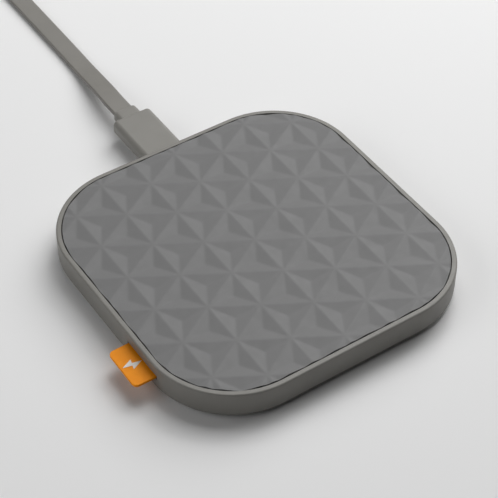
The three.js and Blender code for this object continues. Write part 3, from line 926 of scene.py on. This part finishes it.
# The far plug is made along Y, with its tip at -Y, and this turn lays it along X.
FAR_TURN = Matrix.Rotation(math.radians(-90), 4, "Z")


RIB_COUNT = 5
RIB_PITCH = 2.2 * MM
RIB_HALF = 0.35 * MM
RIB_HALF_HEIGHT = 2.2 * MM
WINDOW_AT = Vector((-2.6, 2.7, 0)) * MM
WINDOW_HALF = Vector((1.25, 1.1, 3)) * MM
CONTACT_LENGTHS = (8.5, 7.5, 7.5, 8.5)
CONTACT_PITCH = 2.3 * MM
CONTACT_HALF_WIDTH = 0.5 * MM
CONTACT_START = 1 * MM


def far_section(node):
    """(middle, half size) of a CAD node of the far plug, with the size as if it lay along Y."""
    middle, size = section_of(node)
    return middle, Vector((size.y, size.x, size.z))


def make_far_grip():
    """The grip, with a row of grooves cut into each side."""
    middle, size = far_section("far_plug_grip")
    stations = round_front(-size.y, 0.8 * MM, 6) + round_rear(size.y, 1.6 * MM, 6)
    grip = bar("far_grip_moulding", size.x, size.z, 2.2 * MM, stations, middle, 12, turn=FAR_TURN)
    reach = Vector((RIB_HALF, RIB_HALF, RIB_HALF_HEIGHT))
    for side in (-1, 1):
        for n in range(RIB_COUNT):
            along = (n - (RIB_COUNT - 1) / 2) * RIB_PITCH
            place = middle + Vector((along, side * size.x, 0))
            carve(grip, block(place - reach, place + reach))
    smooth(grip)
    settle(grip, "lead", "lead_grip", "lead_grip", "far_plug_grip")
    return grip


def make_far_boot():
    middle, size = far_section("far_plug_boot")
    stations = [(-size.y - BOOT_OVERLAP, 0)] + round_rear(size.y, 1.0 * MM)
    boot = bar("far_boot_moulding", size.x, size.z, 1.6 * MM, stations, middle, 10, turn=FAR_TURN)
    smooth(boot)
    settle(boot, "lead", "lead_grip", "lead_grip", "far_plug_boot")
    return boot


def make_far_shell():
    """The folded shell, open at its tip, with two windows through its top and bottom."""
    middle, size = far_section("far_plug_shell")
    lip = 0.1 * MM
    stations = [(size.y, 0), (-size.y + lip, 0), (-size.y, lip)]
    stations += [(-size.y, SHELL_WALL), (size.y - SHELL_WALL, SHELL_WALL)]
    shell = bar("far_shell_folded", size.x, size.z, 0.5 * MM, stations, middle, 5, turn=FAR_TURN)
    for side in (-1, 1):
        place = middle + Vector((WINDOW_AT.x, side * WINDOW_AT.y, 0))
        carve(shell, block(place - WINDOW_HALF, place + WINDOW_HALF))
    smooth(shell)
    settle(shell, "lead", "steel", "steel", "far_plug_shell")
    return shell


def make_contacts():
    """The four gold strips on the far plug's tongue."""
    low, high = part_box("far_plug_insulator")
    middle = (low + high) / 2
    made = []
    for n, length in enumerate(CONTACT_LENGTHS):
        y = middle.y + (n - 1.5) * CONTACT_PITCH
        start = low.x + CONTACT_START
        strip_low = Vector((start, y - CONTACT_HALF_WIDTH, middle.z - 0.09 * MM))
        strip_high = Vector((start + length * MM, y + CONTACT_HALF_WIDTH, middle.z + 0.02 * MM))
        made.append(block(strip_low, strip_high))
    strips = made[0]
    for other in made[1:]:
        carve(strips, other, "UNION")
    strips.name = "far_contacts"
    bevel = strips.modifiers.new("edges", "BEVEL")
    bevel.width = 0.03 * MM
    bevel.segments = 1
    smooth(strips)
    settle(strips, "lead", "contact", "steel")
    return strips


far_grip = make_far_grip()
far_boot = make_far_boot()
far_shell = make_far_shell()
far_contacts = make_contacts()

# --- Inside the pad -------------------------------------------------------------------------------

WINDING_TURNS = 9.6
WINDING_BORE = 10.5 * MM
WIRE_CLEARANCE = 0.03 * MM
EDGE_BREAK = 0.08 * MM


def winding_tree():
    """A flat spiral of round wire."""
    tree, source = shape_tree("flat_winding", {
        "Turns": "NodeSocketFloat",
        "Inner Radius": "NodeSocketFloat",
        "Outer Radius": "NodeSocketFloat",
        "Wire Radius": "NodeSocketFloat",
        "Height": "NodeSocketFloat",
        "Material": "NodeSocketMaterial",
    })
    given = source.outputs
    spiral = add_node(tree, "GeometryNodeCurveSpiral", {
        "Resolution": 64, "Rotations": given["Turns"], "Start Radius": given["Inner Radius"],
        "End Radius": given["Outer Radius"], "Height": 0.0,
    })
    wire = add_node(tree, "GeometryNodeCurvePrimitiveCircle", {
        "Resolution": 10, "Radius": given["Wire Radius"],
    })
    tube = add_node(tree, "GeometryNodeCurveToMesh", {
        "Curve": spiral.outputs[0], "Profile Curve": wire.outputs[0], "Fill Caps": True,
    })
    rise = add_node(tree, "ShaderNodeCombineXYZ", {"Z": given["Height"]})
    placed = add_node(tree, "GeometryNodeTransform", {0: tube.outputs[0], "Translation": rise.outputs[0]})
    end_tree(tree, source, placed.outputs[0])
    return tree


def make_winding():
    """The charging coil's wire, in one layer."""
    low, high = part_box("charging_coil")
    wire = (high.z - low.z) / 2 - WIRE_CLEARANCE
    winding = grown("coil_winding", winding_tree(), {
        "Turns": WINDING_TURNS,
        "Inner Radius": WINDING_BORE + wire,
        "Outer Radius": high.x - wire,
        "Wire Radius": wire,
        "Height": (low.z + high.z) / 2,
        "Material": FINISH["copper"],
    })
    winding.data.shade_smooth()
    settle(winding, "pad", "copper", "copper", "charging_coil")


def screw_tree(screw):
    """The screw, once at each of four corners."""
    tree, source = shape_tree("corner_screws", {
        "Corner Distance": "NodeSocketFloat",
        "Material": "NodeSocketMaterial",
    })
    spread = calc(tree, "MULTIPLY", source.outputs["Corner Distance"], 2)
    corners = add_node(tree, "GeometryNodeMeshGrid", {
        "Size X": spread, "Size Y": spread, "Vertices X": 2, "Vertices Y": 2,
    })
    model = add_node(tree, "GeometryNodeObjectInfo", {"Object": screw})
    placed = add_node(tree, "GeometryNodeInstanceOnPoints", {
        "Points": corners.outputs[0], "Instance": model.outputs["Geometry"],
    })
    end_tree(tree, source, placed.outputs[0])
    return tree


def make_screws():
    """Pan-head screws with a cross recess and a thread."""
    low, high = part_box("screw_1")
    head_r = (high.x - low.x) / 2
    head_high = low.z + 0.5 * MM
    head_edge = 0.3 * MM
    crest = 1.0 * MM
    root = 0.78 * MM
    pitch = 0.4 * MM
    profile = [(0.3 * MM, low.z), (head_r - head_edge, low.z)]
    profile += [(head_r, low.z + 0.25 * MM), (head_r, head_high), (crest, head_high)]
    z = head_high + 0.1 * MM
    while z < high.z - 1.2 * MM:
        profile += [(root, z), (crest, z + pitch / 2)]
        z += pitch
    profile += [(0.75 * MM, high.z - 0.8 * MM), (0.1 * MM, high.z)]
    screw = turned("screw_model", profile, sides=28)
    slot_long = 1.1 * MM
    slot_wide = 0.22 * MM
    bottom = Vector((0, 0, low.z - MM))
    roof = Vector((0, 0, low.z + 0.4 * MM))
    for reach_x, reach_y in ((slot_long, slot_wide), (slot_wide, slot_long)):
        reach = Vector((reach_x, reach_y, 0))
        carve(screw, block(bottom - reach, roof + reach))
    values = {"Corner Distance": SCREW_REACH, "Material": FINISH["steel"]}
    screws = grown("base_screws", screw_tree(screw), values)
    bpy.data.objects.remove(screw)
    smooth(screws, 30)
    settle(screws, "pad", "steel", "steel", "screw_1", "screw_2", "screw_3", "screw_4")


# The CAD nodes that are shown as they are, by their finish
CAD_FINISHES = {
    "foam": ("adhesive_ring", "foam_ring"),
    "ferrite": ("ferrite_disc",),
    "copper": ("coil_lead_1", "coil_lead_2"),
    "board": ("circuit_board",),
    "chip": ("temperature_sensor", "controller_chip", "power_inductor", "power_switch_1", "power_switch_2"),
    "capacitor": (
        "input_capacitor_1", "input_capacitor_2", "resonant_capacitor_1", "resonant_capacitor_2",
        "resonant_capacitor_3", "resonant_capacitor_4",
    ),
    "insulator": ("usb_socket_tongue", "plug_insulator", "far_plug_insulator"),
}


def dress(piece, finish):
    """Gives a CAD node's piece its material and breaks its edges."""
    piece.data.materials.clear()
    piece.data.materials.append(FINISH[finish])
    weld = piece.modifiers.new("weld", "WELD")
    weld.merge_threshold = 0.001 * MM
    bevel = piece.modifiers.new("edges", "BEVEL")
    bevel.width = EDGE_BREAK
    bevel.segments = 2
    bevel.limit_method = "ANGLE"
    bevel.angle_limit = math.radians(40)


make_winding()
make_screws()
for finish_name, node_names in CAD_FINISHES.items():
    for node_name in node_names:
        dress(nodes[node_name], finish_name)

# --- Floor and light ------------------------------------------------------------------------------


FLOOR_HALF = 4
FLOOR_LOW = -20 * MM
FLOOR_HIGH = -0.1 * MM
LIGHT_DISTANCE = 0.9
LIGHT_SIZE = 0.5

# Azimuth, elevation and power of each light
LIGHTS = {
    "key_low": (30, 36, 3.36),
    "key_high": (30, 60, 2.52),
    "rear_high": (60, 60, 1.54),
    "right": (0, 36, 1.44),
    "rear_left": (150, 36, 1.05),
    "left": (180, 30, 1.07),
}


def add_floor():
    low = (-FLOOR_HALF, -FLOOR_HALF, FLOOR_LOW)
    high = (FLOOR_HALF, FLOOR_HALF, FLOOR_HIGH)
    floor = block(low, high, "floor")
    material, _, shader = new_finish("pale_floor")
    shader.inputs["Base Color"].default_value = (0.86, 0.86, 0.86, 1)
    shader.inputs["Roughness"].default_value = 0.9
    shader.inputs["Specular IOR Level"].default_value = 0.1
    floor.data.materials.append(material)


def add_light(name, azimuth, elevation, power):
    """A soft square light that faces the pad."""
    data = bpy.data.lights.new(name, "AREA")
    data.size = LIGHT_SIZE
    data.energy = power
    light = bpy.data.objects.new(name, data)
    scene.collection.objects.link(light)
    light.location = LIGHT_DISTANCE * direction(azimuth, elevation)
    light.rotation_euler = light.location.to_track_quat("Z", "Y").to_euler()


def add_world(strength):
    world = bpy.data.worlds.new("studio")
    world.use_nodes = True
    background = world.node_tree.nodes["Background"]
    background.inputs["Color"].default_value = (1, 1, 1, 1)
    background.inputs["Strength"].default_value = strength
    scene.world = world


add_floor()
for light_name, light_values in LIGHTS.items():
    add_light(light_name, *light_values)
add_world(0.01)
scene.view_settings.view_transform = "Standard"
